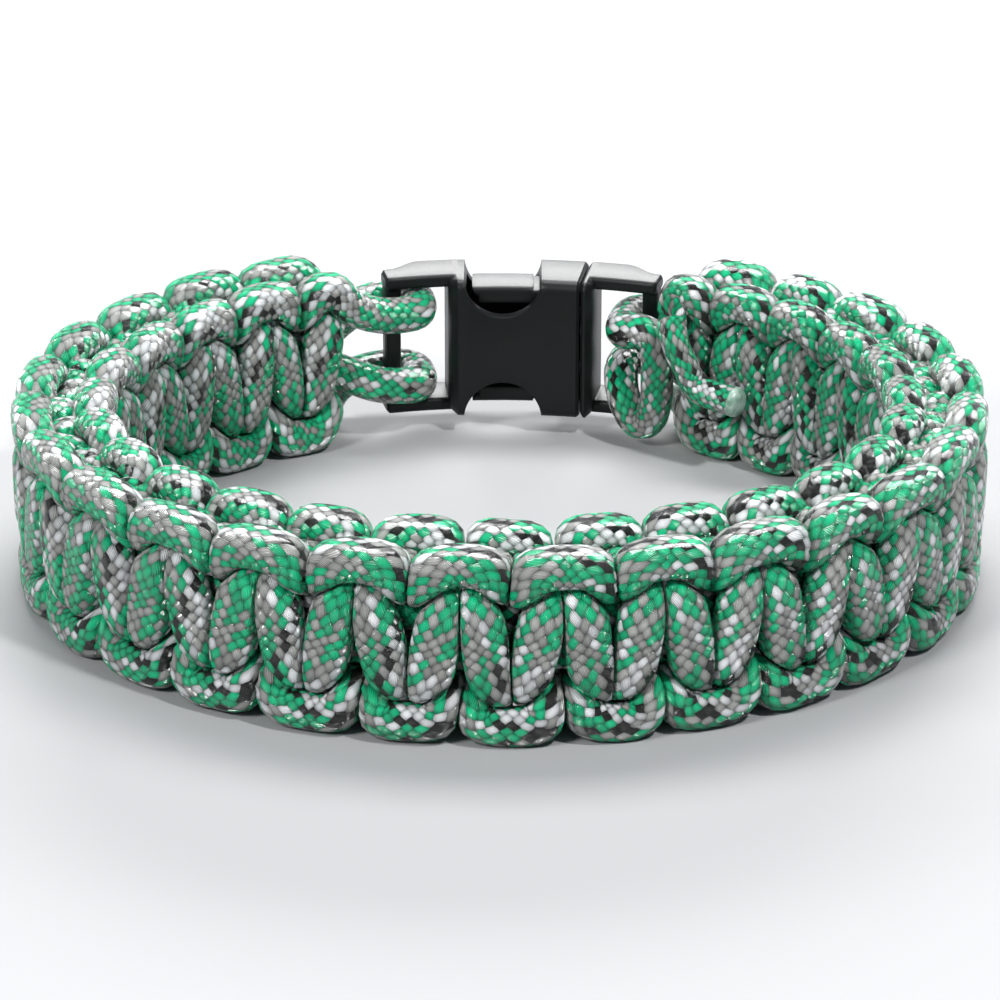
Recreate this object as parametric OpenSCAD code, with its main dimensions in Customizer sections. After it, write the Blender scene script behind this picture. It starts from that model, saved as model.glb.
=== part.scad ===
// Paracord bracelet with a cobra weave and a curved side-release buckle.
// The bracelet lies on its edge as it would on a table. The origin is under its middle, on the table.
// X runs from side to side, -Y is the front, +Y is the buckle, and Z runs across the band.

/* [Bracelet] */
// Length of the oval that the middle of the band follows, from side to side
oval_x = 84; // [72:0.1:110]
// Length of that oval from the front to the buckle
oval_y = 68.8; // [60:0.1:92]
// Width of the woven band, which is the bracelet's height on the table
band_w = 19.3; // [17:0.1:24]
// Thickness of the woven band
band_t = 10.2; // [9.5:0.1:13]
// Number of half knots in the weave
half_knots = 48; // [38:2:58]
// Share by which the knots are spread at the front, where the band was stretched
front_spread = 0.04; // [0:0.005:0.1]
// Distance that the front knots lie off the middle, towards +X
front_shift = 1; // [0:0.1:3]

/* [Cord] */
// Diameter of the cord where nothing squeezes it
cord_d = 4; // [3.2:0.1:5]
// Clearance between cords where they press on each other
cord_gap = 0.4; // [0.1:0.05:0.5]
// Distance from the left bar to the first knot
start_run = 7.4; // [6:0.1:12]
// Distance from the right bar to the last knot
end_run = 4.6; // [4:0.1:9]

/* [Buckle] */
// Length of the fastened buckle along the band
buckle_l = 28.9; // [26:0.1:36]
// Width of the buckle, along Z
buckle_w = 15.2; // [14.6:0.1:19]
// Thickness of the buckle
buckle_t = 7.4; // [6.5:0.1:9]
// Distance of the buckle's middle from the oval's end, towards +X
buckle_shift = 2.3; // [0:0.1:3]
// Length of each end bar along the band
bar_l = 1.7; // [1.4:0.1:2.4]
// Thickness of each end bar
bar_t = 2; // [1.6:0.1:2.6]
// Length of each slot between a bar and the body
slot_l = 4.9; // [4:0.1:6]
// Wall of the socket
wall = 1.3; // [1:0.1:1.8]
// Thickness of the side arms that hold the bars
ear_w = 1.4; // [1:0.1:2]
// Length of the prong plate that closes the socket's mouth
plate_l = 1.4; // [1:0.1:3]
// Radius of the half-round thumb notches in the socket's two edges
notch_r = 4; // [3:0.1:4.6]
// How far the thumb pads lie below the buckle's edges
pad_drop = 1.2; // [0:0.1:1.3]
// Clearance between the socket and the prongs
fit_gap = 0.2; // [0.1:0.05:0.4]

/* [Hidden] */
sides = 6;
S = 0;
N = 1;
Z = 2;
R = 3;
far = 99;
soft = 8;

// Oval: the point at an angle from the front, and the length along it from a fine table
oval_steps = 360;
rx = oval_x / 2;
ry = oval_y / 2;
// The oval is moved by this so that the bracelet's box is centred on the origin
centre_y = (band_t - buckle_t) / 4;
function oval_point(t) = [rx * sin(t), -ry * cos(t)];
function oval_slope(t) = [rx * cos(t), ry * sin(t)];
oval_step = [for (i = [1:oval_steps]) norm(oval_point(360 * i / oval_steps) - oval_point(360 * (i - 1) / oval_steps))];
function running(v, i = 0, sum = 0, out = [0]) = i == len(v) ? out : running(v, i + 1, sum + v[i], concat(out, sum + v[i]));
oval_run = running(oval_step);
oval_l = oval_run[oval_steps];
oval_table = [for (i = [0:oval_steps]) [oval_run[i], 360 * i / oval_steps]];
// A place along the band, outwards from its middle and up, as a point of the bracelet
function bend(p) =
    let (along = p[S] < 0 ? p[S] + oval_l : p[S],
         t = lookup(along, oval_table),
         slope = oval_slope(t) / norm(oval_slope(t)),
         at = oval_point(t))
    [at[0] + p[N] * slope[1], at[1] - p[N] * slope[0] + centre_y, p[Z] + band_w / 2];

// Places along the band
back_s = oval_l / 2;
left_bar_s = -(back_s - (buckle_l / 2 - buckle_shift) + bar_l / 2);
right_bar_s = back_s - (buckle_l / 2 + buckle_shift) + bar_l / 2;
first_s = left_bar_s + start_run;
last_s = right_bar_s - end_run;
pitch = (last_s - first_s) / half_knots;
function knot_s(k) =
    let (v = 2 * k / half_knots - 1)
    (first_s + last_s) / 2 + (last_s - first_s) / 2 * ((1 + front_spread) * v - front_spread * pow(v, 3))
    + (front_shift - (first_s + last_s) / 2) * (1 - v * v);

// Half a half knot of the face cord, from its turn at the top edge to the middle of its bar on the outer face:
// place in pitches, outwards in band thicknesses, up in band widths, radius in cord diameters
TURN = [
    [0.00, -0.295, 0.418, 0.54],
    [0.50, -0.295, 0.383, 0.54],
    [0.80, -0.235, 0.298, 0.54],
    [0.82, -0.038, 0.274, 0.56],
    [0.76,  0.180, 0.259, 0.58],
    [0.64,  0.310, 0.149, 0.58],
    [0.50,  0.325, 0.000, 0.58]];
core_z = 0.52 * cord_d;
core_r = 0.54 * cord_d;
rows = 2 * (len(TURN) - 1);

// Row i of the half knot, where the second half is the first one turned about the middle of the bar
function sized(r) = [r[S] * pitch, r[N] * band_t, r[Z] * band_w, r[R] * cord_d];
function half_row(i) = i < len(TURN) ? sized(TURN[i]) :
    let (r = sized(TURN[rows - i])) [pitch - r[S], r[N], -r[Z], r[R]];
// Row i counted from the first knot, where every second half knot is mirrored top to bottom
function weave_row(i) =
    let (k = floor(i / rows), r = half_row(i - k * rows), up = k % 2 == 0 ? 1 : -1)
    [r[S] + k * pitch, r[N], up * r[Z], r[R]];
function place(r) = [r[S], r[N], r[Z]];
function turned(p) = [p[S], -p[N], -p[Z]];

// Routes of the cords near one half knot, with points close together, which hold each other's sections back
fine = 3;
function spline(a, b, c, d, t) =
    (2 * b + (c - a) * t + (2 * a - 5 * b + 4 * c - d) * t * t + (3 * b - a - 3 * c + d) * pow(t, 3)) / 2;
function fine_point(j) =
    let (i = floor(j / fine))
    spline(place(weave_row(i - 1)), place(weave_row(i)), place(weave_row(i + 1)), place(weave_row(i + 2)), j / fine - i);
near_j = [-2 * rows * fine, 4 * rows * fine];
near_face = [for (j = [near_j[0]:near_j[1]]) [j, fine_point(j)]];
near_back = [for (q = near_face) turned(q[1])];
near_core = [for (x = [-2 * pitch:pitch / 8:4 * pitch], up = [1, -1]) [x, 0, up * core_z]];
// Rows of the face cord's own route that lie further along it than this don't count as the same stretch
own_rows = 4;

// How far a section may reach from c along the unit direction d
function reach(c, d, r, others) =
    let (room = min([far, each [for (q = others) let (w = q - c, a = w * d) if (a > 0.01) w * w / (2 * a)]]) - cord_gap / 2,
         up = abs(d[Z]) < 0.01 ? far : (band_w / 2 - sign(d[Z]) * c[Z]) / abs(d[Z]),
         out = abs(d[N]) < 0.01 ? far : (band_t / 2 - sign(d[N]) * c[N]) / abs(d[N]))
    pow(pow(r, -soft) + pow(max(room, 0.4), -soft) + pow(max(up, 0.4), -soft) + pow(max(out, 0.4), -soft), -1 / soft);
function unit(v) = v / norm(v);
// Unit directions of a section's corners, starting on the side that faces away from the band's middle
function corners(along, away) =
    let (t = unit(along), e = unit(away - (away * t) * t), f = cross(t, e))
    [for (j = [0:sides - 1]) cos(360 * j / sides) * e + sin(360 * j / sides) * f];
function within(c, pts, d) = [for (q = pts) if (norm(q - c) < d) q];

// Sections of the face cord in its first half knot
function face_section(i) =
    let (r = weave_row(i), c = place(r),
         along = place(weave_row(i + 1)) - place(weave_row(i - 1)),
         own = [for (q = near_face) if (abs(q[0] / fine - i) > own_rows) q[1]],
         others = within(c, concat(own, near_back, near_core), 1.7 * cord_d))
    [for (d = corners(along, [0, c[N], c[Z]])) c + reach(c, d, r[R], others) * d];
FACE = [for (i = [0:rows - 1]) face_section(i)];
// Sections of the top core strand over two half knots
core_rows = 4;
function core_section(i) =
    let (c = [i * 2 * pitch / core_rows, 0, core_z],
         others = within(c, concat([for (q = near_face) q[1]], near_back, [for (q = near_core) if (q[Z] < 0) q]), 1.7 * cord_d))
    [for (d = corners([1, 0, 0], [0, 0, 1])) c + reach(c, d, core_r, others) * d];
CORE = [for (i = [0:core_rows - 1]) core_section(i)];

// The whole weave, in places along the band
function stretched(p) = [knot_s(p[S] / pitch), p[N], p[Z]];
function face_ring(i) =
    let (k = floor(i / rows), ring = FACE[i - k * rows], odd = k % 2 != 0)
    [for (j = [0:sides - 1])
        let (q = odd ? ring[(sides - j) % sides] : ring[j]) stretched([q[S] + k * pitch, q[N], odd ? -q[Z] : q[Z]])];
function core_ring(i) =
    let (k = floor(i / core_rows))
    [for (q = CORE[i - k * core_rows]) stretched([q[S] + 2 * k * pitch, q[N], q[Z]])];

// Cord ends outside the weave: distance from the bar towards the knots, outwards, up
turn_thick = 0.43 * cord_d;
turn_wide = 0.5 * cord_d;
bar_reach = bar_t / 2 + turn_thick + fit_gap;
slot_reach = bar_l / 2 + turn_thick + fit_gap;
START = [
    [start_run, 0, core_z],
    [0.70 * start_run, 0.45 * bar_reach, 2.6],
    [0.36 * start_run, 0.88 * bar_reach, 3.4],
    [0, bar_reach, 3.8],
    [-0.82 * slot_reach, 0.78 * bar_reach, 4],
    [-slot_reach, 0, 4.1],
    [-0.82 * slot_reach, -0.78 * bar_reach, 4.1],
    [0, -bar_reach, 4.1],
    [0.36 * start_run, -1.05 * bar_reach, 4.5],
    [0.70 * start_run, -1.05 * bar_reach, 5.6]];
BAR_TURN = [
    [end_run, 0, core_z],
    [0.66 * end_run, 0.5 * bar_reach, 2.6],
    [0.34 * end_run, 0.9 * bar_reach, 2.7],
    [0, bar_reach, 2.7],
    [-0.84 * slot_reach, 0.8 * bar_reach, 2.5],
    [-1.02 * slot_reach, 0, 2.3],
    [-0.84 * slot_reach, -0.85 * bar_reach, 2.4],
    [0, -1.15 * bar_reach, 2.9],
    [0.32 * end_run, -1.3 * bar_reach, 2.4],
    [0.45 * end_run, -1.4 * bar_reach, 0.6],
    [0.45 * end_run, -1.42 * bar_reach, -1.4],
    [0.45 * end_run, -1.42 * bar_reach, -3.6],
    [0.38 * end_run, -1.4 * bar_reach, -5.6],
    [0.15 * end_run, -1.35 * bar_reach, -6.8],
    [-0.25 * slot_reach, -1.3 * bar_reach, -6.6],
    [-0.75 * slot_reach, -1.1 * bar_reach, -4.6],
    [-1.02 * slot_reach, -0.5 * bar_reach, -2.9],
    [-1.02 * slot_reach, 0.1 * bar_reach, -2.3],
    [-0.84 * slot_reach, 0.8 * bar_reach, -2.4],
    [0, bar_reach, -2.7],
    [0.34 * end_run, 0.9 * bar_reach, -2.7],
    [0.66 * end_run, 0.5 * bar_reach, -2.6],
    [end_run, 0, -core_z]];
// Ends of the working cords past the last knot, as in TURN: the face cord's end lies back over the inner face
FACE_TAIL = [
    [ 0.20, -0.353,  0.358, 0.46],
    [ 0.10, -0.520,  0.269, 0.42],
    [-0.25, -0.670,  0.176, 0.40],
    [-0.60, -0.686,  0.082, 0.38],
    [-0.90, -0.686, -0.010, 0.38],
    [-1.40, -0.686, -0.050, 0.38],
    [-2.40, -0.686, -0.060, 0.38]];
BACK_TAIL = [
    [0.35, -0.284, 0.383, 0.44],
    [0.60, -0.235, 0.332, 0.38]];

// A flattened ring about a point of a cord end; its thin way faces the bar, and far from the bar the band's middle
function end_ring(pts, i, run) =
    let (c = pts[i],
         w = min(1, max(0, c[S] / run)),
         along = pts[min(i + 1, len(pts) - 1)] - pts[max(i - 1, 0)],
         t = unit(along),
         away = [c[S] * (1 - w), c[N], c[Z] * w],
         e = unit(away - (away * t) * t),
         f = cross(t, e))
    [for (j = [0:sides - 1])
        c + turn_thick * cos(360 * j / sides) * e + turn_wide * sin(360 * j / sides) * f];
function from_left(p) = [left_bar_s + p[S], p[N], p[Z]];
function from_right(p) = [right_bar_s - p[S], p[N], p[Z]];
// Rings in the order of their mirror image
function mirrored(ring) = [for (j = [0:sides - 1]) ring[(sides - j) % sides]];
function tail_rings(tail) =
    let (k = half_knots * pitch,
         mids = concat([place(weave_row(half_knots * rows))], [for (r = tail) [k, 0, 0] + place(sized(r))]))
    [for (i = [1:len(tail)])
        let (c = mids[i], along = mids[min(i + 1, len(tail))] - mids[i - 1])
        [for (d = corners(along, [0, c[N], c[Z]])) stretched(c + tail[i - 1][R] * cord_d * d)]];
last_core = half_knots / 2 * core_rows;
start_rings = concat([mirrored(core_ring(0))],
    [for (i = [1:len(START) - 1]) [for (p = end_ring(START, i, start_run)) from_left(p)]]);
weave_rings = [for (i = [0:half_knots * rows]) face_ring(i)];
bar_rings = concat([core_ring(last_core)],
    [for (i = [1:len(BAR_TURN) - 2]) mirrored([for (p = end_ring(BAR_TURN, i, end_run)) from_right(p)])],
    [mirrored([for (p = core_ring(last_core)) turned(p)])]);

// A tube through rings of the same number of points, closed by a flat face at each end
module tube(rings) {
    last = (len(rings) - 1) * sides;
    walls = [for (i = [0:len(rings) - 2], j = [0:sides - 1])
        let (a = i * sides + j, b = i * sides + (j + 1) % sides) each [[a, b + sides, a + sides], [a, b, b + sides]]];
    ends = [[for (j = [sides - 1:-1:0]) j], [for (j = [0:sides - 1]) last + j]];
    polyhedron([for (ring = rings) each ring], concat(walls, ends), convexity = 10);
}
module face_cord() {
    color("seagreen") tube([for (ring = concat(start_rings, weave_rings, tail_rings(FACE_TAIL)))
        [for (p = ring) bend(p)]]);
}
module back_cord() {
    color("mediumseagreen") tube([for (ring = concat(start_rings, weave_rings, tail_rings(BACK_TAIL)))
        [for (p = ring) bend(turned(p))]]);
}
module core_strand(up) {
    color("darkseagreen") tube([for (i = [0:last_core])
        [for (p = core_ring(i)) bend(up ? p : turned(p))]]);
}
module bar_turn() {
    color("silver") tube([for (ring = bar_rings) [for (p = ring) bend(p)]]);
}

// Buckle: curved about the middle of the oval's back end
curve_r = rx * rx / ry;
buckle_x0 = -buckle_l / 2;
body_x0 = buckle_x0 + bar_l + slot_l;
body_x1 = -body_x0;
mouth_x = body_x1 - plate_l;
edge = 1.1;
function turn_of(x) = (x + buckle_shift) / curve_r * 180 / PI;
// An outline across the band, swept along it from x0 to x1
module swept(x0, x1) {
    translate([0, centre_y + ry - curve_r, band_w / 2])
        rotate([0, 0, 90 - turn_of(x1)])
            rotate_extrude(angle = turn_of(x1) - turn_of(x0), $fn = 180)
                translate([curve_r, 0])
                    children();
}
// A block with cut corners: thickness, width, corner
module block(t, w, c) {
    polygon([[-t / 2 + c, -w / 2], [t / 2 - c, -w / 2], [t / 2, -w / 2 + c], [t / 2, w / 2 - c],
             [t / 2 - c, w / 2], [-t / 2 + c, w / 2], [-t / 2, w / 2 - c], [-t / 2, -w / 2 + c]]);
}
// What stands straight out of the band at a place along the buckle
module upright(x) {
    translate([0, centre_y + ry - curve_r, band_w / 2])
        rotate([0, 0, -turn_of(x)])
            translate([0, curve_r, 0])
                children();
}
module ears(x0, x1) {
    for (up = [-1, 1])
        swept(x0, x1)
            translate([0, up * ((buckle_w - ear_w) / 2 - 0.1)])
                block(bar_t + 1, ear_w, 0.4);
}
module end_bar(x) {
    upright(x) cube([bar_l, bar_t, buckle_w - 0.8], center = true);
}
module notches(r) {
    for (up = [-1, 1])
        upright(notch_x) translate([0, 0, up * buckle_w / 2]) rotate([90, 0, 0])
            cylinder(r = r, h = 2 * buckle_t, center = true, $fn = 48);
}
notch_x = -2;
cave_t = buckle_t - 2 * wall;
cave_w = buckle_w - 2 * wall;
module buckle_socket() {
    color("dimgray") difference() {
        union() {
            swept(body_x0, mouth_x) block(buckle_t, buckle_w, edge);
            ears(buckle_x0, body_x0 + 0.5);
            end_bar(buckle_x0 + bar_l / 2);
        }
        swept(body_x0 + 1.6, mouth_x + 1) block(cave_t, cave_w, 0.5);
        notches(notch_r);
    }
}
// The prongs: a plate that closes the mouth, a middle tongue, and two arms with thumb pads in the notches
arm_w = 1.5;
pad_r = notch_r - 0.6;
module buckle_prongs() {
    arm_z = cave_w / 2 - fit_gap - arm_w / 2;
    pad_w = buckle_w / 2 - pad_drop - arm_z;
    color("black") union() {
        swept(mouth_x + fit_gap, body_x1) block(buckle_t, buckle_w, edge);
        ears(body_x1 - 0.5, -buckle_x0);
        end_bar(-buckle_x0 - bar_l / 2);
        swept(body_x0 + 3.4, mouth_x + 0.5) block(cave_t - 2 * fit_gap, 3, 0.4);
        for (up = [-1, 1]) {
            swept(notch_x - pad_r + 0.8, mouth_x + 0.5)
                translate([0, up * arm_z]) block(cave_t - 3 * fit_gap, arm_w, 0.3);
            intersection() {
                upright(notch_x) translate([0, 0, up * buckle_w / 2]) rotate([90, 0, 0])
                    cylinder(r = pad_r, h = 2 * buckle_t, center = true, $fn = 48);
                swept(notch_x - pad_r, notch_x + pad_r)
                    translate([0, up * (arm_z + pad_w / 2)])
                        block(cave_t - 2 * fit_gap, pad_w, 0.4);
            }
        }
    }
}

face_cord();
back_cord();
core_strand(true);  // core_strand_top
core_strand(false);  // core_strand_bottom
bar_turn();
buckle_socket();
buckle_prongs();
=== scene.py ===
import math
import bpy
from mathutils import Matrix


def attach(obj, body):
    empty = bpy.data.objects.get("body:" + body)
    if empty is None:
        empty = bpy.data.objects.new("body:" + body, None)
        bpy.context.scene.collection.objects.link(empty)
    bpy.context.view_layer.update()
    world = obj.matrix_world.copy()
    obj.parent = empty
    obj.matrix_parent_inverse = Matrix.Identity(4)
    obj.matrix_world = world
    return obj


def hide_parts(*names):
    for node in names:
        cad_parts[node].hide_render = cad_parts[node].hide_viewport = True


bl_info = {
    "name": "Cord bracelet",
    "version": (1, 0, 0),
    "blender": (4, 5, 0),
    "location": "View3D > Sidebar > Bracelet",
    "description": "Builds the woven cord bracelet, its buckle and its studio stage",
    "category": "Object",
}

import bmesh
import bpy
import numpy as np
from mathutils import Vector

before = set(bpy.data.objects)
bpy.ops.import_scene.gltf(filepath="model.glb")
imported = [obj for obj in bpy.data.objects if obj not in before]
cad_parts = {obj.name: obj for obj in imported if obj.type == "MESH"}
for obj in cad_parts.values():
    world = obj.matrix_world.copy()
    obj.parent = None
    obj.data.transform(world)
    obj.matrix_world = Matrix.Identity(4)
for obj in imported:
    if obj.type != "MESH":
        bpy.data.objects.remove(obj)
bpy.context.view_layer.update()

MM = 1000.0

# Points round the cord, steps between two rows of its route, and steps round the oval
SIDES = 28
STEPS = 4
OVAL_STEPS = 2880

# Band between each bar and the nearest knot, in mm
START_RUN = 7.4
END_RUN = 4.6

# Radius of the cord and height of the core strands, in cord diameters
CORE_RADIUS = 0.54
START_RADIUS = 0.47
HITCH_RADIUS = 0.46
BAR_RADIUS = 0.43
CORE_UP = 0.52

# Unevenness of a knot: place and slack in pitches, outwards and up in mm, share of the radius
LOOSE_PLACE = 0.025
LOOSE_SLACK = 0.03
LOOSE_OUT = 0.10
LOOSE_UP = 0.16
LOOSE_RADIUS = 0.02

# Buckle, in mm
WALL = 1.3
FIT = 0.2
PLATE = 1.4
EAR = 1.4
ARM = 1.5
TONGUE = 3.0
NOTCH_PLACE = -2.0
NOTCH_RADIUS = 4.0
PAD_GAP = 0.6
PAD_DROP = 1.2

# Half width of the floor, in metres
FLOOR = 2.0

# Half of a half knot: place in pitches, outwards and up in band thicknesses and widths, radius in cords
TURN = [
    (0.00, -0.295, 0.402, 0.54),
    (0.50, -0.295, 0.383, 0.54),
    (0.80, -0.235, 0.298, 0.54),
    (0.83, -0.038, 0.278, 0.60),
    (0.79, 0.150, 0.257, 0.61),
    (0.66, 0.310, 0.145, 0.58),
    (0.50, 0.325, 0.000, 0.58),
]
# Turn round the left bar: place in runs or slot reaches, outwards in bar reaches, up in mm
START = [
    (0.85, 0.20, 2.2),
    (0.70, 0.45, 2.6),
    (0.36, 0.88, 3.4),
    (0.00, 1.00, 3.8),
    (-0.82, 0.78, 4.0),
    (-1.00, 0.00, 4.1),
    (-0.82, -0.78, 4.1),
    (0.00, -1.00, 4.1),
    (0.36, -1.05, 4.5),
    (0.70, -1.05, 5.6),
]
# Turn round the right bar, in the same columns
BAR_TURN = [
    (0.66, 0.50, 2.6),
    (0.34, 0.90, 2.7),
    (0.00, 1.00, 2.7),
    (-0.84, 0.80, 2.5),
    (-1.02, 0.00, 2.3),
    (-0.84, -0.85, 2.4),
    (0.00, -1.15, 2.9),
    (0.32, -1.30, 2.4),
    (0.45, -1.40, 0.6),
    (0.45, -1.42, -1.4),
    (0.45, -1.42, -3.6),
    (0.38, -1.40, -5.6),
    (0.15, -1.35, -6.8),
    (-0.25, -1.30, -6.6),
    (-0.75, -1.10, -4.6),
    (-1.02, -0.50, -2.9),
    (-1.02, 0.10, -2.3),
    (-0.84, 0.80, -2.4),
    (0.00, 1.00, -2.7),
    (0.34, 0.90, -2.7),
    (0.66, 0.50, -2.6),
]
# Ends of the working cords past the last knot, in the columns of TURN
FACE_TAIL = [
    (0.20, -0.353, 0.358, 0.46),
    (0.10, -0.520, 0.269, 0.42),
    (-0.25, -0.670, 0.176, 0.40),
    (-0.60, -0.686, 0.082, 0.38),
    (-0.90, -0.686, -0.010, 0.38),
    (-1.40, -0.686, -0.050, 0.38),
    (-2.40, -0.686, -0.060, 0.38),
]
BACK_TAIL = [
    (0.35, -0.284, 0.383, 0.44),
    (0.60, -0.235, 0.332, 0.38),
]
# Yarns round the sheath: those that wind one way, then those that wind the other, as (count, colour)
YARNS = [
    (4, "green"), (4, "grey"), (2, "white"), (3, "green"), (2, "grey"), (1, "black"),
    (2, "green"), (2, "white"), (2, "green"), (2, "grey"), (2, "green"), (1, "grey"),
    (3, "white"), (2, "black"), (3, "green"), (3, "grey"), (2, "green"),
]
YARNS_A_WAY = 20
# Rows of picks that the sheath twists by in each pick's length
TWIST = 0.1
# Rounded end of a trimmed cord: distance past the cut in mm, and share of the cord's section
DOME = [(0.15, 1.03), (0.50, 1.00), (0.85, 0.85), (1.08, 0.58), (1.15, 0.20)]
DOME_ROWS = len(DOME)


class BandSettings(bpy.types.PropertyGroup):
    """Sizes of the woven band"""

    oval_x: bpy.props.FloatProperty(
        name="Oval length", description="Length of the oval that the band follows, from side to side",
        default=0.0840, min=0.07, max=0.11, unit="LENGTH", subtype="DISTANCE")
    oval_y: bpy.props.FloatProperty(
        name="Oval depth", description="Length of that oval from the front to the buckle",
        default=0.0688, min=0.06, max=0.092, unit="LENGTH", subtype="DISTANCE")
    width: bpy.props.FloatProperty(
        name="Width", description="Width of the woven band", default=0.0193, min=0.017, max=0.024,
        unit="LENGTH", subtype="DISTANCE")
    thickness: bpy.props.FloatProperty(
        name="Thickness", description="Thickness of the woven band", default=0.0102, min=0.009, max=0.013,
        unit="LENGTH", subtype="DISTANCE")
    half_knots: bpy.props.IntProperty(
        name="Half knots", description="Number of half knots in the weave", default=48, min=38, max=58)
    front_spread: bpy.props.FloatProperty(
        name="Front spread", description="Share by which the knots are spread at the front",
        default=0.04, min=0.0, max=0.1, subtype="FACTOR")
    front_shift: bpy.props.FloatProperty(
        name="Front shift", description="Distance of the front knots from the middle", default=0.001,
        min=0.0, max=0.003, unit="LENGTH", subtype="DISTANCE")
    unevenness: bpy.props.FloatProperty(
        name="Unevenness", description="How unevenly the knots were pulled tight", default=1.0,
        min=0.0, max=2.0, subtype="FACTOR")
    seed: bpy.props.IntProperty(
        name="Seed", description="Start of the random draws that make the knots uneven", default=7, min=0)


class CordSettings(bpy.types.PropertyGroup):
    """Size and colours of the cord"""

    diameter: bpy.props.FloatProperty(
        name="Diameter", description="Diameter of the cord where nothing squeezes it", default=0.004,
        min=0.0032, max=0.005, unit="LENGTH", subtype="DISTANCE")
    press: bpy.props.FloatProperty(
        name="Gap", description="Space left between cords that press on each other", default=0.00006,
        min=0.0, max=0.0005, unit="LENGTH", subtype="DISTANCE")
    pick: bpy.props.FloatProperty(
        name="Pick length", description="Length along the cord of one pick of the braided sheath",
        default=0.001122, min=0.0004, max=0.002, unit="LENGTH", subtype="DISTANCE")
    green: bpy.props.FloatVectorProperty(
        name="Green", description="Colour of the green yarns", default=(0.003, 0.49, 0.22), size=3,
        min=0.0, max=1.0, subtype="COLOR")
    white: bpy.props.FloatVectorProperty(
        name="White", description="Colour of the white yarns", default=(0.78, 0.79, 0.80), size=3,
        min=0.0, max=1.0, subtype="COLOR")
    grey: bpy.props.FloatVectorProperty(
        name="Grey", description="Colour of the grey yarns", default=(0.38, 0.38, 0.36), size=3,
        min=0.0, max=1.0, subtype="COLOR")
    black: bpy.props.FloatVectorProperty(
        name="Black", description="Colour of the black tracer yarns", default=(0.012, 0.010, 0.009), size=3,
        min=0.0, max=1.0, subtype="COLOR")


class BuckleSettings(bpy.types.PropertyGroup):
    """Sizes and colour of the buckle"""

    length: bpy.props.FloatProperty(
        name="Length", description="Length of the fastened buckle along the band", default=0.0289,
        min=0.026, max=0.036, unit="LENGTH", subtype="DISTANCE")
    width: bpy.props.FloatProperty(
        name="Width", description="Width of the buckle", default=0.0152, min=0.0146, max=0.019,
        unit="LENGTH", subtype="DISTANCE")
    thickness: bpy.props.FloatProperty(
        name="Thickness", description="Thickness of the buckle", default=0.0074, min=0.0065, max=0.009,
        unit="LENGTH", subtype="DISTANCE")
    shift: bpy.props.FloatProperty(
        name="Shift", description="Distance of the buckle's middle from the end of the oval", default=0.0023,
        min=0.0, max=0.003, unit="LENGTH", subtype="DISTANCE")
    bar_length: bpy.props.FloatProperty(
        name="Bar length", description="Length of each end bar along the band", default=0.0017,
        min=0.0014, max=0.0024, unit="LENGTH", subtype="DISTANCE")
    bar_thickness: bpy.props.FloatProperty(
        name="Bar thickness", description="Thickness of each end bar", default=0.002,
        min=0.0016, max=0.0026, unit="LENGTH", subtype="DISTANCE")
    slot_length: bpy.props.FloatProperty(
        name="Slot length", description="Length of each slot between a bar and the body", default=0.0049,
        min=0.004, max=0.006, unit="LENGTH", subtype="DISTANCE")
    colour: bpy.props.FloatVectorProperty(
        name="Colour", description="Colour of the moulded plastic", default=(0.006, 0.0065, 0.007), size=3,
        min=0.0, max=1.0, subtype="COLOR")


class StageSettings(bpy.types.PropertyGroup):
    """Camera and floor"""

    distance: bpy.props.FloatProperty(
        name="Camera distance", description="Distance of the camera from the origin", default=0.436,
        min=0.2, max=2.0, unit="LENGTH", subtype="DISTANCE")
    elevation: bpy.props.FloatProperty(
        name="Camera elevation", description="Angle of the camera above the floor",
        default=math.radians(25.54), min=0.0, max=1.5, unit="ROTATION", subtype="ANGLE")
    aim: bpy.props.FloatProperty(
        name="Aim height", description="Height of the point that the camera looks at", default=0.0068,
        unit="LENGTH", subtype="DISTANCE")
    lens: bpy.props.FloatProperty(
        name="Lens", description="Focal length of the camera in millimetres", default=160.2,
        min=20.0, max=400.0)
    floor: bpy.props.FloatVectorProperty(
        name="Floor", description="Colour of the floor", default=(0.33, 0.33, 0.335), size=3,
        min=0.0, max=1.0, subtype="COLOR")


# Shader nodes

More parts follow.
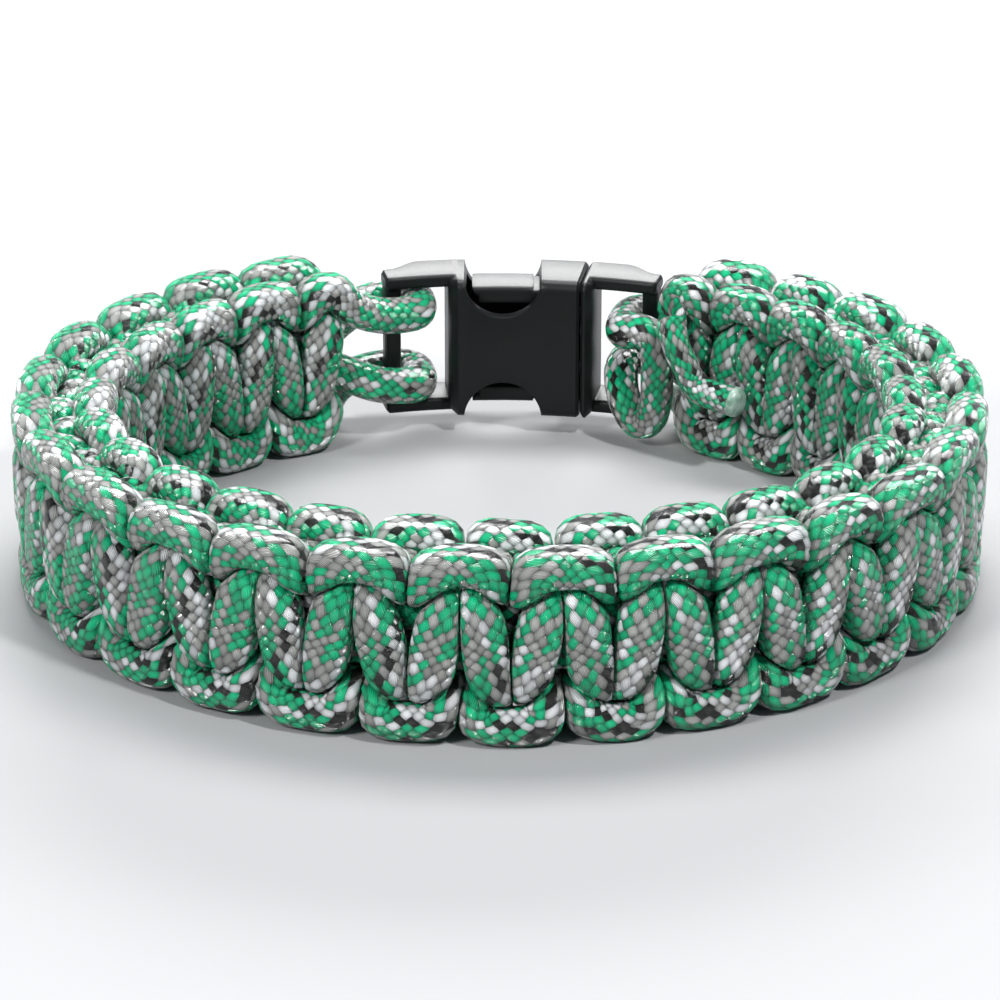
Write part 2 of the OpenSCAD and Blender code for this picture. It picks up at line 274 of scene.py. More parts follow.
class Graph:
    """Adds nodes to one material and links them"""

    def __init__(self, name):
        self.material = bpy.data.materials.new(name)
        self.material.use_nodes = True
        self.tree = self.material.node_tree
        self.shader = self.tree.nodes["Principled BSDF"]

    def set(self, **values):
        for key, value in values.items():
            self.shader.inputs[key.replace("_", " ").title().replace("Ior", "IOR")].default_value = value

    def feed(self, socket, value):
        if isinstance(value, bpy.types.NodeSocket):
            self.tree.links.new(value, socket)
        else:
            socket.default_value = value

    def math(self, operation, *values):
        node = self.tree.nodes.new("ShaderNodeMath")
        node.operation = operation
        for socket, value in zip(node.inputs, values):
            self.feed(socket, value)
        return node.outputs[0]

    def mix(self, share, low, high):
        """low where share is 0 and high where it is 1"""
        return self.rise(share, low, self.math("SUBTRACT", high, low))

    def rise(self, value, start, slope):
        """start where value is 0, and more of it by the slope"""
        return self.math("ADD", self.math("MULTIPLY", value, slope), start)

    def total(self, first, first_share, second, second_share):
        """The sum of two values, each multiplied by its share"""
        return self.math("ADD", self.math("MULTIPLY", first, first_share),
                         self.math("MULTIPLY", second, second_share))

    def bulge(self, value, reach, power):
        """0 in the middle and 1 at the reach on both sides, steeper with a higher power"""
        return self.math("POWER", self.math("ABSOLUTE", self.math("DIVIDE", value, reach)), power)

    def noise(self, vector, scale, detail=2.0):
        node = self.tree.nodes.new("ShaderNodeTexNoise")
        self.feed(node.inputs["Vector"], vector)
        node.inputs["Scale"].default_value = scale
        node.inputs["Detail"].default_value = detail
        return node.outputs["Fac"]

    def ramp(self, value, stops, constant=False):
        node = self.tree.nodes.new("ShaderNodeValToRGB")
        node.color_ramp.interpolation = "CONSTANT" if constant else "LINEAR"
        elements = node.color_ramp.elements
        while len(elements) > 1:
            elements.remove(elements[-1])
        for i, (place, colour) in enumerate(stops):
            stop = elements[0] if i == 0 else elements.new(place)
            stop.position = place
            stop.color = (*colour, 1)
        self.feed(node.inputs[0], value)
        return node.outputs[0]

    def tint(self, colour, share):
        """colour multiplied by a grey of that brightness"""
        node = self.tree.nodes.new("ShaderNodeVectorMath")
        node.operation = "SCALE"
        self.feed(node.inputs[0], colour)
        self.feed(node.inputs["Scale"], share)
        return node.outputs[0]

    def bump(self, height, distance, strength=1.0):
        node = self.tree.nodes.new("ShaderNodeBump")
        node.inputs["Strength"].default_value = strength
        node.inputs["Distance"].default_value = distance
        self.feed(node.inputs["Height"], height)
        self.feed(self.shader.inputs["Normal"], node.outputs[0])


def braid_material(cord):
    """Sheath of round braid: yarns that wind both ways and pass over and under each other, with painted shade
    in the gaps between picks
    """
    half_length, end_power = 0.57, 2.4
    half_width, edge_power = 0.395, 2.2
    filaments, filament_height, crown_height = 8, 0.12, 0.00048
    # Painted shade: brightness of the colour in the gaps between picks, and how much it rises to their crowns
    painted_gap_shade, painted_crown_shade = 0.10, 1.02
    # Random brightness of each pick: partly the yarns' own uneven tone, partly painted glints and shade
    least_tone_and_painted_light, tone_and_painted_light_range = 0.80, 0.42
    g = Graph("braided_sheath")
    at = g.tree.nodes.new("ShaderNodeUVMap")
    at.uv_map = "braid"
    split = g.tree.nodes.new("ShaderNodeSeparateXYZ")
    g.feed(split.inputs[0], at.outputs[0])
    pick, row = cord.pick * MM, 2 * math.pi * cord.diameter * MM / YARNS_A_WAY
    along = g.math("DIVIDE", split.outputs[0], pick)
    around = g.total(split.outputs[1], YARNS_A_WAY / 2, along, TWIST)
    slope = math.atan2(row / 2, pick)
    ways = []
    for side, shift in ((1, 0.0), (-1, 0.5)):
        line = g.math("FLOOR", g.math("ADD", around, 0.5 - shift))
        up = g.math("SUBTRACT", g.math("SUBTRACT", around, line), shift)
        tilted = g.math("SUBTRACT", along, g.math("MULTIPLY", up, side))
        count = g.math("FLOOR", g.math("ADD", tilted, 0.5 - shift))
        ahead = g.math("MULTIPLY", g.math("SUBTRACT", g.math("SUBTRACT", along, count), shift), pick)
        up = g.math("MULTIPLY", up, row * side)
        length = g.total(ahead, math.cos(slope), up, math.sin(slope))
        across = g.total(up, math.cos(slope), ahead, -math.sin(slope))
        end = g.bulge(length, half_length * pick, end_power)
        edge = g.bulge(across, half_width * row, edge_power)
        crown = g.math("SUBTRACT", g.math("SUBTRACT", 1.0, end), edge)
        yarn = g.math("SUBTRACT", count, g.math("MULTIPLY", line, 2.0 * side))
        yarn = g.math("FLOORED_MODULO", yarn, float(YARNS_A_WAY))
        ways.append((crown, g.math("ADD", yarn, YARNS_A_WAY * shift * 2), across, line))
    over = g.math("GREATER_THAN", ways[1][0], ways[0][0])
    crown, yarn, across, line = [g.mix(over, one, other) for one, other in zip(*ways)]
    stops, first = [], 0
    for count, name in YARNS:
        stops.append((first / (2 * YARNS_A_WAY), tuple(getattr(cord, name))))
        first += count
    colour = g.ramp(g.math("DIVIDE", g.math("ADD", yarn, 0.5), 2.0 * YARNS_A_WAY), stops, constant=True)
    # Random brightness for each pick: partly uneven tone of the yarns, partly painted glints and shade
    spread = g.tree.nodes.new("ShaderNodeTexWhiteNoise")
    spread.noise_dimensions = "2D"
    place = g.tree.nodes.new("ShaderNodeCombineXYZ")
    g.feed(place.inputs[0], yarn)
    g.feed(place.inputs[1], g.math("FLOORED_MODULO", line, YARNS_A_WAY / 2))
    g.feed(spread.inputs["Vector"], place.outputs[0])
    filament = g.math("SINE", g.math("MULTIPLY", across, 2 * math.pi * filaments))
    height = g.rise(filament, crown, filament_height)
    # Painted shade: the yarn colour darkens from each pick's crown into the gaps between picks; each pick's
    # random brightness is partly its own tone and partly painted glints and shade
    painted_shade = g.math("MULTIPLY", g.rise(crown, painted_gap_shade, painted_crown_shade),
                   g.rise(spread.outputs["Value"], least_tone_and_painted_light, tone_and_painted_light_range))
    g.feed(g.shader.inputs["Base Color"], g.tint(colour, painted_shade))
    g.set(roughness=0.16, specular_ior_level=0.8, sheen_weight=0.03, sheen_roughness=0.4)
    g.bump(height, crown_height)
    return g.material


def melted_material():
    """Ends of the cord, sealed with heat"""
    g = Graph("melted_end")
    at = g.tree.nodes.new("ShaderNodeTexCoord")
    g.feed(g.shader.inputs["Base Color"], g.ramp(g.noise(at.outputs["Object"], 900.0), [
        (0.35, (0.10, 0.22, 0.15)), (0.65, (0.34, 0.42, 0.38))]))
    g.set(roughness=0.3)
    g.bump(g.noise(at.outputs["Object"], 1500.0), 0.0001)
    return g.material


def plastic_material(buckle):
    """Black moulded plastic with a fine grain, which both halves share"""
    found = bpy.data.materials.get("buckle_plastic")
    if found:
        return found
    g = Graph("buckle_plastic")
    at = g.tree.nodes.new("ShaderNodeTexCoord")
    grain = g.noise(at.outputs["Object"], 5200.0, 3.0)
    g.shader.inputs["Base Color"].default_value = (*buckle.colour, 1)
    g.feed(g.shader.inputs["Roughness"], g.rise(grain, 0.34, 0.14))
    g.set(specular_ior_level=0.22)
    g.bump(grain, 0.00002, 0.5)
    return g.material


# Where the band runs

def centre_y(band, buckle):
    """How far the oval's middle lies behind the origin, in metres"""
    return (band.thickness - buckle.thickness) / 4


class Oval:
    """The oval that the middle of the band follows, in mm, from the middle of the front towards +X"""

    def __init__(self, band, buckle):
        self.rx, self.ry = band.oval_x * MM / 2, band.oval_y * MM / 2
        self.half_width = band.width * MM / 2
        self.centre_y = centre_y(band, buckle) * MM
        self.turn = np.linspace(0, 2 * math.pi, OVAL_STEPS + 1)
        x, y = self.rx * np.sin(self.turn), -self.ry * np.cos(self.turn)
        self.run = np.concatenate([[0], np.cumsum(np.hypot(np.diff(x), np.diff(y)))])
        self.length = self.run[-1]

    def bend(self, p):
        """Places along the band, outwards and up, as points of the bracelet"""
        t = np.interp(np.mod(p[..., 0], self.length), self.run, self.turn)
        tx, ty = self.rx * np.cos(t), self.ry * np.sin(t)
        size = np.hypot(tx, ty)
        x = self.rx * np.sin(t) + p[..., 1] * ty / size
        y = -self.ry * np.cos(t) - p[..., 1] * tx / size + self.centre_y
        return np.stack([x, y, p[..., 2] + self.half_width], -1)


class Layout:
    """Places of the bars and the knots along the band, in mm"""

    def __init__(self, scene):
        band, cord, buckle = scene.bracelet_band, scene.bracelet_cord, scene.bracelet_buckle
        self.oval = Oval(band, buckle)
        self.half_knots = band.half_knots
        self.cord = cord.diameter * MM
        self.width, self.thickness = band.width * MM, band.thickness * MM
        back = self.oval.length / 2
        bar = buckle.bar_length * MM
        self.left_bar = -(back - (buckle.length / 2 - buckle.shift) * MM + bar / 2)
        self.right_bar = back - (buckle.length / 2 + buckle.shift) * MM + bar / 2
        self.first, self.last = self.left_bar + START_RUN, self.right_bar - END_RUN
        self.spread, self.shift = band.front_spread, band.front_shift * MM
        self.bar_reach = buckle.bar_thickness * MM / 2 + BAR_RADIUS * self.cord + FIT
        self.slot_reach = bar / 2 + BAR_RADIUS * self.cord + FIT

    def knot(self, k):
        """Place of knot k along the band"""
        v = 2 * np.asarray(k, float) / self.half_knots - 1
        middle, half = (self.first + self.last) / 2, (self.last - self.first) / 2
        return (middle + half * ((1 + self.spread) * v - self.spread * v ** 3)
                + (self.shift - middle) * (1 - v * v))


def turned(rows):
    """Rows of the other cord: turned half round about the middle of the band"""
    return rows * [1, -1, -1, 1]


def spline(rows, steps):
    """A smooth line through the rows"""
    p = np.vstack([rows[:1], rows, rows[-1:]])
    a, b, c, d = p[:-3], p[1:-2], p[2:-1], p[3:]
    t = (np.arange(steps) / steps)[None, :, None]
    a, b, c, d = (q[:, None, :] for q in (a, b, c, d))
    line = 0.5 * (2 * b + (c - a) * t + (2 * a - 5 * b + 4 * c - d) * t ** 2
                  + (3 * b - a - 3 * c + d) * t ** 3)
    return np.vstack([line.reshape(-1, rows.shape[1]), rows[-1:]])


def weave_rows(layout, draws, amount):
    """Rows of one working cord through all the knots: place, outwards, up and radius in mm"""
    table = np.array(TURN)
    down = table[1:-1][::-1] * [-1, 1, -1, 1] + [1, 0, 0, 0]
    half = np.vstack([table, down])
    scale = [1, layout.thickness, layout.width, layout.cord]
    rows = []
    for k in range(layout.half_knots):
        part = half * scale
        part[:, 0] += k
        loose = draws.normal(0, 1, 4) * amount
        part[:, 0] += LOOSE_PLACE * loose[0]
        part[:, 1] += LOOSE_OUT * loose[1] * np.sign(part[:, 1])
        part[:, 2] += LOOSE_UP * loose[2] * np.sign(part[:, 2])
        part[:, 3] *= 1 + LOOSE_RADIUS * loose[3]
        if k % 2:
            part[:, 2] *= -1
        rows.append(part)
    end = table[:1] * scale
    end[:, 0] += layout.half_knots
    end[:, 2] *= -1 if layout.half_knots % 2 else 1
    rows = np.vstack(rows + [end])
    slack = draws.normal(0, LOOSE_SLACK * amount, layout.half_knots + 2)
    rows[:, 0] += np.interp(rows[:, 0], np.arange(layout.half_knots + 2), slack)
    rows[:, 0] = layout.knot(rows[:, 0])
    return rows


def run_rows(table, layout, run, bar, way, thick):
    """Rows of a turn round a buckle bar; way is the direction from the bar to the knots"""
    rows = []
    for place, out, up in table:
        reach = run if place > 0 else layout.slot_reach
        rows.append((bar + way * place * reach, out * layout.bar_reach, up, thick))
    return np.array(rows)


def tail_rows(table, layout):
    """Rows of a working cord's end past the last knot"""
    rows = np.array(table) * [1, layout.thickness, layout.width, layout.cord]
    rows[:, 0] = layout.knot(rows[:, 0] + layout.half_knots)
    return rows


def core_rows(layout, first, last):
    """Rows of the top core strand from the first knot to the last"""
    count = 2 * layout.half_knots + 1
    rows = np.zeros((count, 4))
    rows[:, 0] = np.linspace(first, last, count)
    rows[:, 2] = CORE_UP * layout.cord
    rows[:, 3] = CORE_RADIUS * layout.cord
    return rows


def one_cord(layout, settings):
    """The whole cord from one trimmed end to the other, and the rows that belong to each piece"""
    draws = np.random.default_rng(settings.seed)
    face = weave_rows(layout, draws, settings.unevenness)
    back = turned(weave_rows(layout, draws, settings.unevenness))
    start = run_rows(START, layout, START_RUN, layout.left_bar, 1, START_RADIUS * layout.cord)
    bar = run_rows(BAR_TURN, layout, END_RUN, layout.right_bar, -1, HITCH_RADIUS * layout.cord)
    core = core_rows(layout, layout.first, layout.last)
    back_tail = turned(tail_rows(BACK_TAIL, layout))
    parts = [
        ("back_cord", np.vstack([back_tail[::-1], back[::-1], turned(start)[::-1]])),
        ("core_strand_bottom", turned(core)),
        ("bar_turn", bar[::-1]),
        ("core_strand_top", core[::-1]),
        ("face_cord", np.vstack([start, face, tail_rows(FACE_TAIL, layout)])),
    ]
    rows = np.vstack([r for name, r in parts])
    spans, first = {}, 0
    for name, r in parts:
        spans[name] = (first, first + len(r))
        first += len(r)
    return rows, spans


# Cord

def linked(name, data):
    """An object in the scene"""
    ob = bpy.data.objects.new(name, data)
    bpy.context.scene.collection.objects.link(ob)
    return ob


def frames_along(points):
    """Unit directions along, and two across, carried along the line without twist"""
    along = np.gradient(points, axis=0)
    along /= np.linalg.norm(along, axis=1)[:, None]
    across = np.zeros_like(along)
    first = np.cross(along[0], (1.0, 0.2, 0.1))
    across[0] = first / np.linalg.norm(first)
    for i in range(1, len(along)):
        v = across[i - 1] - along[i] * np.dot(across[i - 1], along[i])
        across[i] = v / np.linalg.norm(v)
    return along, across, np.cross(along, across)


def pressed_rings(line, layout, gap, sides):
    """Sections of the cord, each held back where another cord, or the cord itself, presses on it"""
    points, radius = line[:, :3], line[:, 3]
    along, across, up = frames_along(points)
    angle = np.arange(sides) * 2 * math.pi / sides
    ways = (np.cos(angle)[None, :, None] * across[:, None, :] + np.sin(angle)[None, :, None] * up[:, None, :])
    run = np.concatenate([[0], np.cumsum(np.linalg.norm(np.diff(points, axis=0), axis=1))])
    order = np.argsort(points[:, 0])
    sorted_s = points[order, 0]
    near, own_skip, power, least, far = 6.3, 7.0, 8, 0.3, 1e6
    half = np.array([layout.thickness, layout.width]) / 2
    inside = (points[:, 0] > layout.first - 1) & (points[:, 0] < layout.last + 1)
    rings = np.zeros((len(points), sides, 3))
    for i, c in enumerate(points):
        low, high = np.searchsorted(sorted_s, [c[0] - near, c[0] + near])
        pick = order[low:high]
        pick = pick[np.abs(run[pick] - run[i]) > own_skip]
        w = points[pick] - c
        w = w[(w ** 2).sum(1) < near ** 2]
        d = ways[i]
        reach = np.full(sides, far)
        if len(w):
            dd = d @ w.T
            reach = np.where(dd > 1e-6, (w ** 2).sum(1)[None, :] / np.maximum(2 * dd, 1e-9), far).min(1) - gap
        total = radius[i] ** -power + np.maximum(reach, least) ** -power
        if inside[i] and abs(c[1]) < half[0]:
            for axis, limit in ((1, half[0]), (2, half[1])):
                room = (limit - np.sign(d[:, axis]) * c[axis]) / np.maximum(np.abs(d[:, axis]), 1e-3)
                total = total + np.maximum(room, least) ** -power
        rings[i] = c + (total ** (-1 / power))[:, None] * d
    return rings, run


def ring_mesh(name, rings, run, materials, domes):
    """A tube through the rings with the braid's map: length along the cord in mm, and the share of a turn"""
    count, sides = rings.shape[:2]
    points = rings.reshape(-1, 3) / MM
    i = np.arange(count - 1)[:, None] * sides
    j = np.arange(sides)[None, :]
    k = (j + 1) % sides
    faces = np.stack([i + j, i + k, i + sides + k, i + sides + j], -1).reshape(-1, 4)
    mesh = bpy.data.meshes.new(name)
    mesh.from_pydata(points.tolist(), [], faces.tolist())
    layer = mesh.uv_layers.new(name="braid")
    u0, u1 = run[:-1, None] + 0 * j, run[1:, None] + 0 * j
    v0, v1 = (j / sides) + 0 * u0, ((j + 1) / sides) + 0 * u0
    uv = np.stack([np.stack([u0, v0], -1), np.stack([u0, v1], -1),
                   np.stack([u1, v1], -1), np.stack([u1, v0], -1)], 2)
    layer.uv.foreach_set("vector", uv.reshape(-1).astype(np.float32))
    for material in materials:
        mesh.materials.append(material)
    builder = bmesh.new()
    builder.from_mesh(mesh)
    builder.verts.ensure_lookup_table()
    builder.faces.ensure_lookup_table()
    for end in range(2):
        first = end * (count - 1) * sides
        loop = [builder.verts[first + n] for n in range(sides)]
        face = builder.faces.new(loop if end else loop[::-1])
        face.material_index = 1
        builder.faces.ensure_lookup_table()
        if domes[end]:
            first = (count - 1 - DOME_ROWS) * sides if end else 0
            for n in range(first, first + DOME_ROWS * sides):
                builder.faces[n].material_index = 1
    bmesh.ops.recalc_face_normals(builder, faces=builder.faces)
    builder.to_mesh(mesh)
    builder.free()
    mesh.polygons.foreach_set("use_smooth", [True] * len(mesh.polygons))
    return linked(name, mesh)


def rounded_end(rings, run, line, at_end):
    """Extra sections that close a trimmed end with a small dome"""
    ring = rings[-1] if at_end else rings[0]
    middle = ring.mean(0)
    way = line[-1, :3] - line[-3, :3] if at_end else line[0, :3] - line[2, :3]
    way = way / np.linalg.norm(way)
    extra, places = [], []
    for ahead, share in DOME:
        extra.append(middle + (ring - middle) * share + way * ahead)
        places.append((run[-1] + ahead) if at_end else (run[0] - ahead))
    if at_end:
        return np.concatenate([rings, extra]), np.concatenate([run, places])
    return np.concatenate([extra[::-1], rings]), np.concatenate([places[::-1], run])


class BRACELET_OT_cords(bpy.types.Operator):
    """Builds the one cord of the bracelet: both working cords, the core strands and the bar turn"""

    bl_idname = "bracelet.add_cords"
    bl_label = "Add cords"

    def execute(self, context):
        scene = context.scene
        layout = Layout(scene)
        rows, spans = one_cord(layout, scene.bracelet_band)
        line = spline(rows, STEPS)
        rings, run = pressed_rings(line, layout, scene.bracelet_cord.press * MM, SIDES)
        materials = [braid_material(scene.bracelet_cord), melted_material()]
        for name, (first, last) in spans.items():
            low, high = first * STEPS, min(last * STEPS, (len(rows) - 1) * STEPS)
            piece_rings, piece_run = rings[low:high + 1], run[low:high + 1]
            domes = low == 0, high == (len(rows) - 1) * STEPS
            for end in range(2):
                if domes[end]:
                    piece_rings, piece_run = rounded_end(piece_rings, piece_run, line, bool(end))
            ob = ring_mesh(name + "_braid", layout.oval.bend(piece_rings), piece_run, materials, domes)
            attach(ob, "root")
            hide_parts(name)
        return {"FINISHED"}


# Buckle

class BuckleShape:
    """Turns places along the curved buckle into points, in mm"""

    def __init__(self, scene):
        band, buckle = scene.bracelet_band, scene.bracelet_buckle
        self.rx, self.ry = band.oval_x * MM / 2, band.oval_y * MM / 2
        self.curve = self.rx ** 2 / self.ry
        self.middle_z = band.width * MM / 2
        self.centre_y = centre_y(band, buckle) * MM
        self.shift = buckle.shift * MM
        self.length, self.width = buckle.length * MM, buckle.width * MM
        self.thick = buckle.thickness * MM
        self.bar, self.bar_thick = buckle.bar_length * MM, buckle.bar_thickness * MM
        self.slot = buckle.slot_length * MM
        self.left = -self.length / 2
        self.body_left = self.left + self.bar + self.slot
        self.body_right = -self.body_left
        self.mouth = self.body_right - PLATE

    def place(self, x, n, z):
        turn = (x + self.shift) / self.curve
        r = self.curve + n
        return (r * math.sin(turn) / MM,
                (self.centre_y + self.ry - self.curve + r * math.cos(turn)) / MM,
                (z + self.middle_z) / MM)


def rounded_block(thick, wide, corner, steps=4):
    """Outline across the buckle with round corners: outwards and up"""
    corner = min(corner, thick / 2 - 0.01, wide / 2 - 0.01)
    outline = []
    for sx, sz, start in ((1, 1, 0), (-1, 1, 90), (-1, -1, 180), (1, -1, 270)):
        for i in range(steps + 1):
            a = math.radians(start + 90 * i / steps)
            outline.append((sx * (thick / 2 - corner) + corner * math.cos(a),
                            sz * (wide / 2 - corner) + corner * math.sin(a)))
    return outline


def solid(name, outlines):
    """A solid that is closed from one outline of points to the next"""
    builder = bmesh.new()
    rings = [[builder.verts.new(point) for point in outline] for outline in outlines]
    for a, b in zip(rings, rings[1:]):
        for i in range(len(a)):
            j = (i + 1) % len(a)
            builder.faces.new((a[i], a[j], b[j], b[i]))
    builder.faces.new(rings[0][::-1])
    builder.faces.new(rings[-1])
    bmesh.ops.recalc_face_normals(builder, faces=builder.faces)
    mesh = bpy.data.meshes.new(name)
    builder.to_mesh(mesh)
    builder.free()
    return linked(name, mesh)


def loft(shape, name, sections):
    """A solid through rounded blocks: place along, thickness, width, corner, outwards, up"""
    return solid(name, [
        [shape.place(x, out + n, up + z) for n, z in rounded_block(thick, wide, corner)]
        for x, thick, wide, corner, out, up in sections])


def stretch(x0, x1, thick, wide, corner, up=0.0, ease=0.0, steps=10):
    """Sections of an even stretch; ease draws both ends in by that much, to round them"""
    def section(x, less=0.0):
        return x, thick - 2 * less, wide - 2 * less, corner, 0.0, up

    places = [x0 + (x1 - x0) * i / steps for i in range(steps + 1)]
    if not ease:
        return [section(x) for x in places]
    ends = [(0.0, 1.0), (0.3, 0.3), (1.0, 0.0)]
    return ([section(x0 + share * ease, less * ease) for share, less in ends]
            + [section(x) for x in places if x0 + ease < x < x1 - ease]
            + [section(x1 - share * ease, less * ease) for share, less in reversed(ends)])


def drum(shape, name, x, up, radius, height, steps=64):
    """A round cutter that stands through the buckle's thickness"""
    turn = (x + shape.shift) / shape.curve
    outlines = []
    for out in (-height / 2, height / 2):
        outline = []
        for i in range(steps):
            a = 2 * math.pi * i / steps
            side = radius * math.cos(a) / MM
            px, py, pz = shape.place(x, out, up + radius * math.sin(a))
            outline.append((px + side * math.cos(turn), py - side * math.sin(turn), pz))
        outlines.append(outline)
    return solid(name, outlines)


def combine(ob, other, operation):
    """Joins, cuts or overlaps ob with the other piece, which is then gone"""
    modifier = ob.modifiers.new("combine", "BOOLEAN")
    modifier.operation = operation
    modifier.solver = "EXACT"
    modifier.object = other
    apply_modifiers(ob)
    mesh = other.data
    bpy.data.objects.remove(other)
    bpy.data.meshes.remove(mesh)
    return ob


def apply_modifiers(ob):
    """Puts the shape that the modifiers give in place of the mesh"""
    depsgraph = bpy.context.evaluated_depsgraph_get()
    depsgraph.update()
    mesh = bpy.data.meshes.new_from_object(ob.evaluated_get(depsgraph))
    ob.modifiers.clear()
    old = ob.data
    ob.data = mesh
    bpy.data.meshes.remove(old)


def soften(ob, width):
    """Breaks the sharp edges, as a mould does"""
    modifier = ob.modifiers.new("edges", "BEVEL")
    modifier.width = width / MM
    modifier.segments = 2
    modifier.limit_method = "ANGLE"
    modifier.angle_limit = math.radians(50)
    apply_modifiers(ob)


def finish_plastic(ob, name, node, settings):
    """Names one half of the buckle, gives it the plastic, attaches it to the root body and hides its CAD node
    """
    ob.name = name
    ob.data.name = name
    ob.data.materials.clear()
    ob.data.materials.append(plastic_material(settings))
    ob.data.polygons.foreach_set("use_smooth", [True] * len(ob.data.polygons))
    ob.data.set_sharp_from_angle(angle=math.radians(35))
    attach(ob, "root")
    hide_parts(node)


def end_frame(shape, bar_x, body_x):
    """A bar and the two arms that hold it, which grow outwards into the body"""
    tip_round, level, rise, steps = 0.5, 0.4, 3.4, 12
    thin, way = shape.bar_thick + 1, math.copysign(1, body_x - bar_x)
    grown = 0.44 * shape.thick - thin / 2
    tip = bar_x - way * shape.bar / 2
    reach = abs(body_x - tip)
    pieces = []
    for side in (-1, 1):
        up = side * (shape.width - EAR) / 2
        sections = [(tip, thin - 0.7, EAR - 0.5, 0.4, 0, up), (tip + way * 0.25, thin - 0.1, EAR, 0.4, 0, up)]
        for i in range(steps + 1):
            share = min(1, max(0, (reach * i / steps - level) / rise))
            more = grown * share * share * (3 - 2 * share)
            x = tip + way * (tip_round + (reach - tip_round) * i / steps)
            sections.append((x, thin + more, EAR, 0.45, more / 2, up))
        pieces.append(loft(shape, "ear", sections))
    bar = loft(shape, "bar", stretch(bar_x - shape.bar / 2, bar_x + shape.bar / 2,
                                     shape.bar_thick, shape.width - 1, 0.3, ease=0.45, steps=8))
    whole = combine(pieces[0], pieces[1], "UNION")
    return combine(whole, bar, "UNION")


class BRACELET_OT_buckle_socket(bpy.types.Operator):
    """Builds the buckle's hollow half, with its bar, side arms and thumb notches"""

    bl_idname = "bracelet.add_buckle_socket"
    bl_label = "Add buckle socket"

    def execute(self, context):
        shape = BuckleShape(context.scene)
        left, mouth = shape.body_left, shape.mouth
        t, w = shape.thick, shape.width
        body = loft(shape, "socket", [
            (left, 0.62 * t, 0.90 * w, 0.9, 0, 0),
            (left + 0.3, 0.78 * t, 0.95 * w, 1.0, 0, 0),
            (left + 0.9, 0.97 * t, w, 1.1, 0, 0)]
            + [(left + 1.4 + (mouth - left - 1.7) * i / 12, t, w, 1.1, 0, 0) for i in range(13)]
            + [(mouth, t - 0.5, w - 0.5, 1.0, 0, 0)])
        lap, floor = 1.2, 1.9
        body = combine(body, end_frame(shape, shape.left + shape.bar / 2, left + lap), "UNION")
        cave = loft(shape, "cave", stretch(left + floor, mouth + 1, t - 2 * WALL, w - 2 * WALL, 0.5))
        body = combine(body, cave, "DIFFERENCE")
        for side in (-1, 1):
            cutter = drum(shape, "notch", NOTCH_PLACE, side * w / 2, NOTCH_RADIUS, 2 * t)
            body = combine(body, cutter, "DIFFERENCE")
        soften(body, 0.32)
        finish_plastic(body, "buckle_socket_plastic", "buckle_socket", context.scene.bracelet_buckle)
        return {"FINISHED"}


class BRACELET_OT_buckle_prongs(bpy.types.Operator):
    """Builds the buckle's prong half, with its bar, side arms, mouth plate, tongue and thumb pads"""

    bl_idname = "bracelet.add_buckle_prongs"
    bl_label = "Add buckle prongs"

    def execute(self, context):
        shape = BuckleShape(context.scene)
        left, mouth, right = shape.body_left, shape.mouth, shape.body_right
        t, w = shape.thick, shape.width
        plate = loft(shape, "prongs", [
            (mouth + FIT, t - 0.5, w - 0.5, 1.0, 0, 0),
            (mouth + FIT + 0.25, t, w, 1.1, 0, 0),
            (right - 0.7, t, w, 1.1, 0, 0),
            (right - 0.2, 0.82 * t, 0.95 * w, 1.0, 0, 0),
            (right, 0.68 * t, 0.90 * w, 0.9, 0, 0)])
        lap, root, tongue_tip, arm_tip = 0.9, 0.6, 3.4, 0.8
        body = combine(plate, end_frame(shape, -shape.left - shape.bar / 2, right - lap), "UNION")
        inner_t = t - 2 * WALL - 2 * FIT
        arm_up = (w - 2 * WALL) / 2 - FIT - ARM / 2
        tongue = loft(shape, "tongue", stretch(
            left + tongue_tip, mouth + root, inner_t, TONGUE, 0.4, ease=0.5))
        body = combine(body, tongue, "UNION")
        pad_r = NOTCH_RADIUS - PAD_GAP
        for side in (-1, 1):
            limb = loft(shape, "arm", stretch(
                NOTCH_PLACE - pad_r + arm_tip, mouth + root, inner_t, ARM, 0.3, side * arm_up, 0.2))
            body = combine(body, limb, "UNION")
            high = w / 2 - PAD_DROP - arm_up
            block = loft(shape, "pad", stretch(
                NOTCH_PLACE - pad_r, NOTCH_PLACE + pad_r, inner_t, high, 0.5,
                side * (arm_up + high / 2), 0.2))
            pad = combine(block, drum(shape, "round", NOTCH_PLACE, side * w / 2, pad_r, 2 * t), "INTERSECT")
            body = combine(body, pad, "UNION")
        soften(body, 0.25)
        finish_plastic(body, "buckle_prongs_plastic", "buckle_prongs", context.scene.bracelet_buckle)
        return {"FINISHED"}


# Stage

def aimed(name, data, place, target):
    """An object that looks at the target"""
    ob = linked(name, data)
    ob.location = place
    ob.rotation_euler = (Vector(target) - Vector(place)).to_track_quat("-Z", "Y").to_euler()
    return ob


def softbox(name, place, target, size, power):
    """A rectangular light: place and size in metres, power in watts"""
    light = bpy.data.lights.new(name, "AREA")
    light.shape = "RECTANGLE"
    light.size, light.size_y = size
    light.energy = power
    return aimed(name, light, place, target)


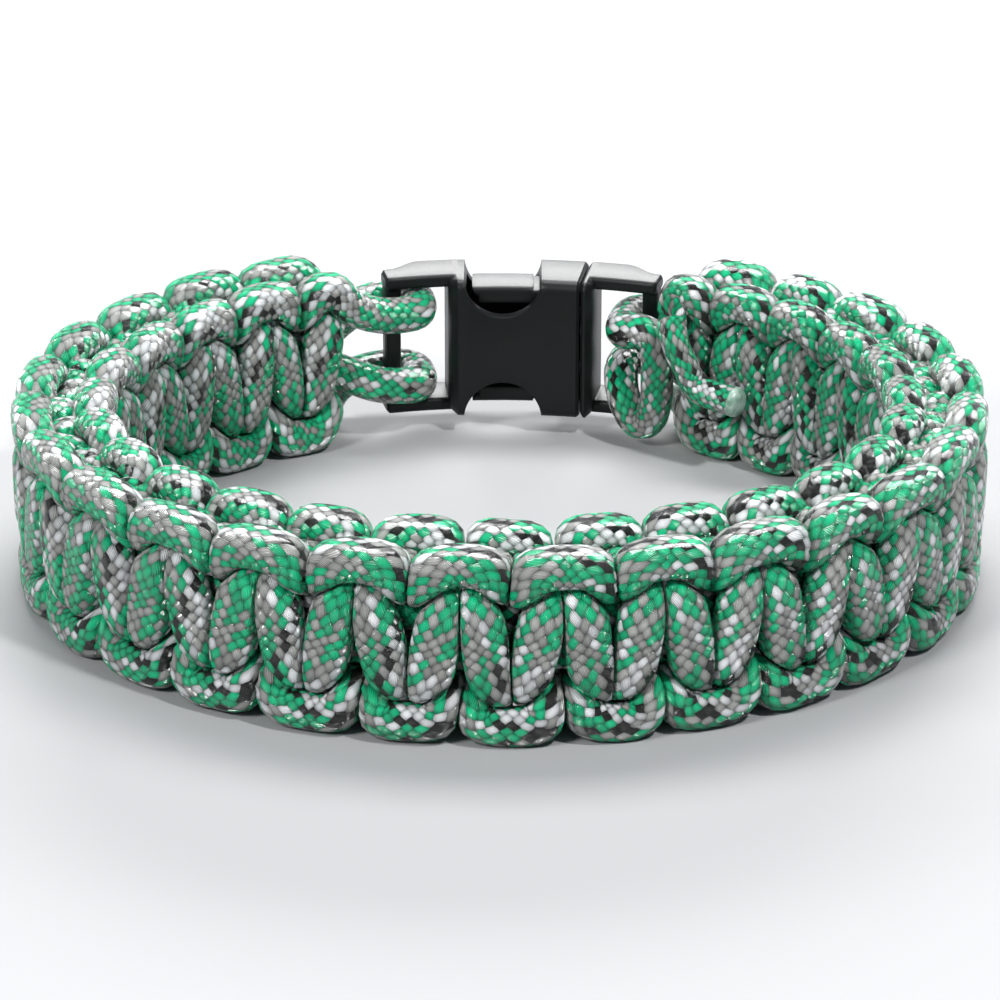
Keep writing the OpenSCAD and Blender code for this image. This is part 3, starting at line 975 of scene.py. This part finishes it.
class BRACELET_OT_stage(bpy.types.Operator):
    """Adds the floor, the lights and the camera"""

    bl_idname = "bracelet.add_stage"
    bl_label = "Add stage"

    def execute(self, context):
        scene = context.scene
        stage = scene.bracelet_stage
        g = Graph("floor_matte")
        g.shader.inputs["Base Color"].default_value = (*stage.floor, 1)
        g.set(roughness=0.9)
        mesh = bpy.data.meshes.new("floor")
        corners = [(x * FLOOR, y * FLOOR, 0) for x, y in ((-1, -1), (1, -1), (1, 1), (-1, 1))]
        mesh.from_pydata(corners, [], [(0, 1, 2, 3)])
        mesh.materials.append(g.material)
        linked("floor", mesh)
        world = bpy.data.worlds.new("studio")
        world.use_nodes = True
        sky = world.node_tree.nodes["Background"]
        sky.inputs["Color"].default_value = (0.70, 0.84, 0.95, 1)
        sky.inputs["Strength"].default_value = 0.24
        scene.world = world
        softbox("overhead", (0.00, 0.16, 0.45), (0, 0, 0.01), (0.34, 0.16), 2.6)
        softbox("key", (0.24, -0.24, 0.48), (0, 0, 0.01), (0.045, 0.045), 2.4)
        softbox("rim", (0.06, 0.68, 0.36), (0, 0.03, 0.01), (0.60, 0.22), 9.5)
        softbox("fill", (-0.36, -0.38, 0.40), (0, 0, 0.01), (0.14, 0.14), 3.2)
        camera = bpy.data.cameras.new("camera")
        camera.sensor_width = 36.0
        camera.lens = stage.lens
        y = centre_y(scene.bracelet_band, scene.bracelet_buckle)
        back = stage.distance * math.cos(stage.elevation)
        place = (0, y - back, stage.distance * math.sin(stage.elevation))
        scene.camera = aimed("camera", camera, place, (0, y, stage.aim))
        scene.view_settings.view_transform = "Standard"
        return {"FINISHED"}


class BRACELET_PT_panel(bpy.types.Panel):
    """Lists the settings and the steps that build the bracelet"""

    bl_idname = "BRACELET_PT_panel"
    bl_label = "Cord bracelet"
    bl_space_type = "VIEW_3D"
    bl_region_type = "UI"
    bl_category = "Bracelet"

    def draw(self, context):
        for name, group in GROUPS.items():
            box = self.layout.box()
            box.label(text=group.__doc__)
            for key in group.__annotations__:
                box.prop(getattr(context.scene, name), key)
        for operator in OPERATORS:
            self.layout.operator(operator.bl_idname)


GROUPS = {
    "bracelet_band": BandSettings,
    "bracelet_cord": CordSettings,
    "bracelet_buckle": BuckleSettings,
    "bracelet_stage": StageSettings,
}
OPERATORS = (BRACELET_OT_cords, BRACELET_OT_buckle_socket, BRACELET_OT_buckle_prongs, BRACELET_OT_stage)


def register():
    for cls in (*GROUPS.values(), *OPERATORS, BRACELET_PT_panel):
        bpy.utils.register_class(cls)
    for name, group in GROUPS.items():
        setattr(bpy.types.Scene, name, bpy.props.PointerProperty(type=group))


def unregister():
    for name in GROUPS:
        delattr(bpy.types.Scene, name)
    for cls in (BRACELET_PT_panel, *reversed(OPERATORS), *reversed(list(GROUPS.values()))):
        bpy.utils.unregister_class(cls)


def main():
    register()
    bpy.ops.bracelet.add_cords()
    bpy.ops.bracelet.add_buckle_socket()
    bpy.ops.bracelet.add_buckle_prongs()
    bpy.ops.bracelet.add_stage()


if __name__ == "__main__":
    main()
